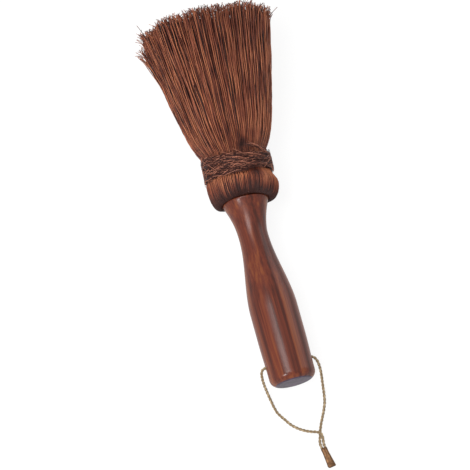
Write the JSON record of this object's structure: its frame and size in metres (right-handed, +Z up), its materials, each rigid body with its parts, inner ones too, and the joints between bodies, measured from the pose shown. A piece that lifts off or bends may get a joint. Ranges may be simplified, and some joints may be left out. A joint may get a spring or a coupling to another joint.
{
  "type": "dish brush",
  "caption": "Round hand brush: long palm-fibre bristles folded back and bound with twine on a turned wooden handle, with a clamped cord loop through the butt for hanging.",
  "frame": {"origin": "on the table, under the middle of the brush as it lies (cord loop left out)", "axes": "+Z up from the table, +Y towards the bristle tips along the brush's length, +X to the right of a person who holds the butt"},
  "size_m": [0.088, 0.3246, 0.086],
  "materials": {
    "lacquered_wood": "reddish hardwood, turned and lacquered",
    "tie_wire": "annealed wire",
    "palm_fibre": "stiff brown plant fibre",
    "fibre_twine": "twine twisted from the same fibre",
    "loop_cord": "two-ply twisted cord",
    "clamp_brass": "crimped sheet brass, dulled"
  },
  "bodies": {
    "brush": {"handle": "lacquered_wood", "inner_root_tie": "tie_wire", "outer_root_tie": "tie_wire", "inner_fibre_layer": "palm_fibre", "outer_fibre_layer": "palm_fibre", "neck_binding": "fibre_twine"},
    "hang_loop": {"hang_cord": "loop_cord", "cord_clamp": "clamp_brass"}
  },
  "joints": [
    {"name": "hang_loop_swing", "type": "hinge", "parent": "brush", "child": "hang_loop", "pos_m": [-0.00725, -0.11745, 0.01671], "axis": [-1, 0, 0], "range_deg": [-130, 165]}
  ]
}
